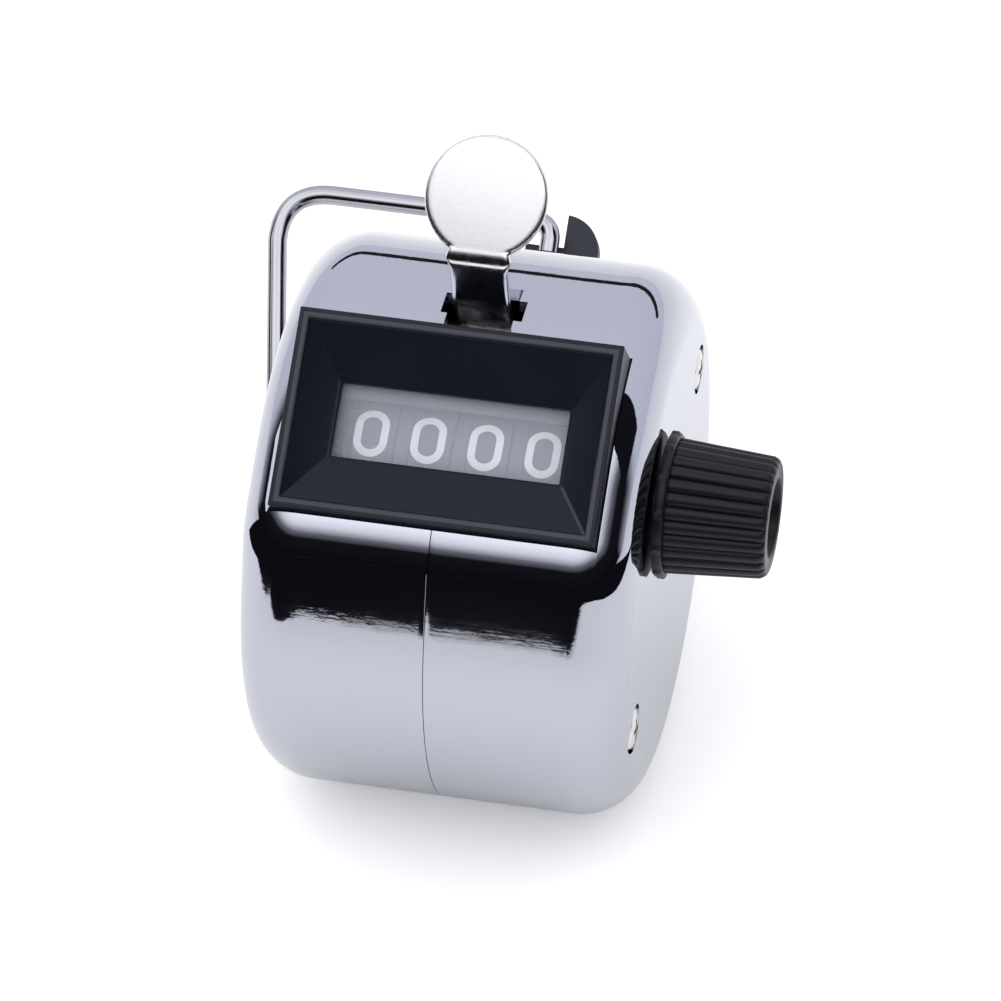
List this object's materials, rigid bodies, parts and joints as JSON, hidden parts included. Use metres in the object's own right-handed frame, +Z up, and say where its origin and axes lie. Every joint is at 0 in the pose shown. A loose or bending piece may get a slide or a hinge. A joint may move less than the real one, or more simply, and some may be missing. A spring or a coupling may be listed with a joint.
{
  "type": "hand tally counter",
  "caption": "Chromed drum-shaped hand counter with a framed number window, thumb lever on top, fluted reset knob on one side and a swinging wire finger loop at the back.",
  "frame": {"origin": "middle of the outline box at the floor, the part standing on the small flat under its drum", "axes": "+X to the reset knob, +Y to the back where the finger loop is, +Z up"},
  "size_m": [0.0486, 0.0618, 0.0553],
  "materials": {
    "chrome_shell": "polished chrome plate",
    "bezel_black": "moulded, semi gloss",
    "clear_lens": "clear, slightly milky",
    "nickel": "satin nickel plate",
    "plain_steel": "pressed",
    "brass_parts": "turned",
    "wheel_grey": "matt, white numerals",
    "knob_black": "matt, fluted",
    "loop_wire": "bright plated wire",
    "spring_wire": "spring steel"
  },
  "bodies": {
    "case": {"case_left": "chrome_shell", "case_right": "chrome_shell", "window_bezel": "bezel_black", "window_lens": "clear_lens", "case_screw_right_rear": "nickel", "case_screw_left_rear": "nickel", "case_screw_right_lower": "nickel", "case_screw_left_lower": "nickel", "frame_post_rear": "plain_steel", "frame_post_lower": "plain_steel", "frame_plate_left": "plain_steel", "frame_plate_right": "plain_steel", "shaft_bush_left": "brass_parts", "shaft_bush_right": "brass_parts", "pinion_shaft": "plain_steel", "lever_pivot_pin": "plain_steel", "return_spring": "spring_wire", "detent_spring": "spring_wire", "loop_bracket": "knob_black", "bracket_rivet_left": "plain_steel", "bracket_rivet_right": "plain_steel"},
    "lever": {"thumb_lever": "nickel", "pawl_pin": "plain_steel"},
    "pawl": {"drive_pawl": "plain_steel"},
    "units": {"wheel_units": "wheel_grey"},
    "tens": {"wheel_tens": "wheel_grey"},
    "hundreds": {"wheel_hundreds": "wheel_grey"},
    "thousands": {"wheel_thousands": "wheel_grey"},
    "carry_tens": {"pinion_tens": "brass_parts"},
    "carry_hundreds": {"pinion_hundreds": "brass_parts"},
    "carry_thousands": {"pinion_thousands": "brass_parts"},
    "reset": {"reset_knob": "knob_black", "wheel_shaft": "plain_steel"},
    "loop": {"finger_loop": "loop_wire"}
  },
  "joints": [
    {"name": "lever_press", "type": "hinge", "parent": "case", "child": "lever", "pos_m": [0.00054, -0.00663, 0.03628], "axis": [-1, 0, 0], "range_deg": [0, 13], "stiffness_Nm_per_rad": 0.12, "springref_deg": -11.46, "deforming": ["return_spring"]},
    {"name": "pawl_swing", "type": "hinge", "parent": "lever", "child": "pawl", "pos_m": [0.00989, -0.01378, 0.02047], "axis": [1, 0, 0], "range_deg": [-2, 15], "stiffness_Nm_per_rad": 0.003},
    {"name": "units_spin", "type": "hinge", "parent": "case", "child": "units", "pos_m": [0.00054, -0.01459, 0.02925], "axis": [-1, 0, 0], "continuous": true},
    {"name": "tens_spin", "type": "hinge", "parent": "case", "child": "tens", "pos_m": [0.00054, -0.01459, 0.02925], "axis": [-1, 0, 0], "continuous": true},
    {"name": "hundreds_spin", "type": "hinge", "parent": "case", "child": "hundreds", "pos_m": [0.00054, -0.01459, 0.02925], "axis": [-1, 0, 0], "continuous": true},
    {"name": "thousands_spin", "type": "hinge", "parent": "case", "child": "thousands", "pos_m": [0.00054, -0.01459, 0.02925], "axis": [-1, 0, 0], "continuous": true},
    {"name": "carry_tens_spin", "type": "hinge", "parent": "case", "child": "carry_tens", "pos_m": [0.00054, -0.02381, 0.02594], "axis": [-1, 0, 0], "continuous": true},
    {"name": "carry_hundreds_spin", "type": "hinge", "parent": "case", "child": "carry_hundreds", "pos_m": [0.00054, -0.02381, 0.02594], "axis": [-1, 0, 0], "continuous": true},
    {"name": "carry_thousands_spin", "type": "hinge", "parent": "case", "child": "carry_thousands", "pos_m": [0.00054, -0.02381, 0.02594], "axis": [-1, 0, 0], "continuous": true},
    {"name": "knob_turn", "type": "hinge", "parent": "case", "child": "reset", "pos_m": [0.00054, -0.01459, 0.02925], "axis": [1, 0, 0], "continuous": true},
    {"name": "loop_swing", "type": "hinge", "parent": "case", "child": "loop", "pos_m": [-0.00121, 0.01689, 0.01279], "axis": [0, -0.7859, -0.6184], "range_deg": [0, 90]}
  ],
  "couplings": [
    {"joint": "tens_spin", "follows": "units_spin", "ratio": 0.1},
    {"joint": "hundreds_spin", "follows": "units_spin", "ratio": 0.01},
    {"joint": "thousands_spin", "follows": "units_spin", "ratio": 0.001},
    {"joint": "carry_tens_spin", "follows": "units_spin", "ratio": -0.25},
    {"joint": "carry_hundreds_spin", "follows": "units_spin", "ratio": -0.025},
    {"joint": "carry_thousands_spin", "follows": "units_spin", "ratio": -0.0025}
  ]
}
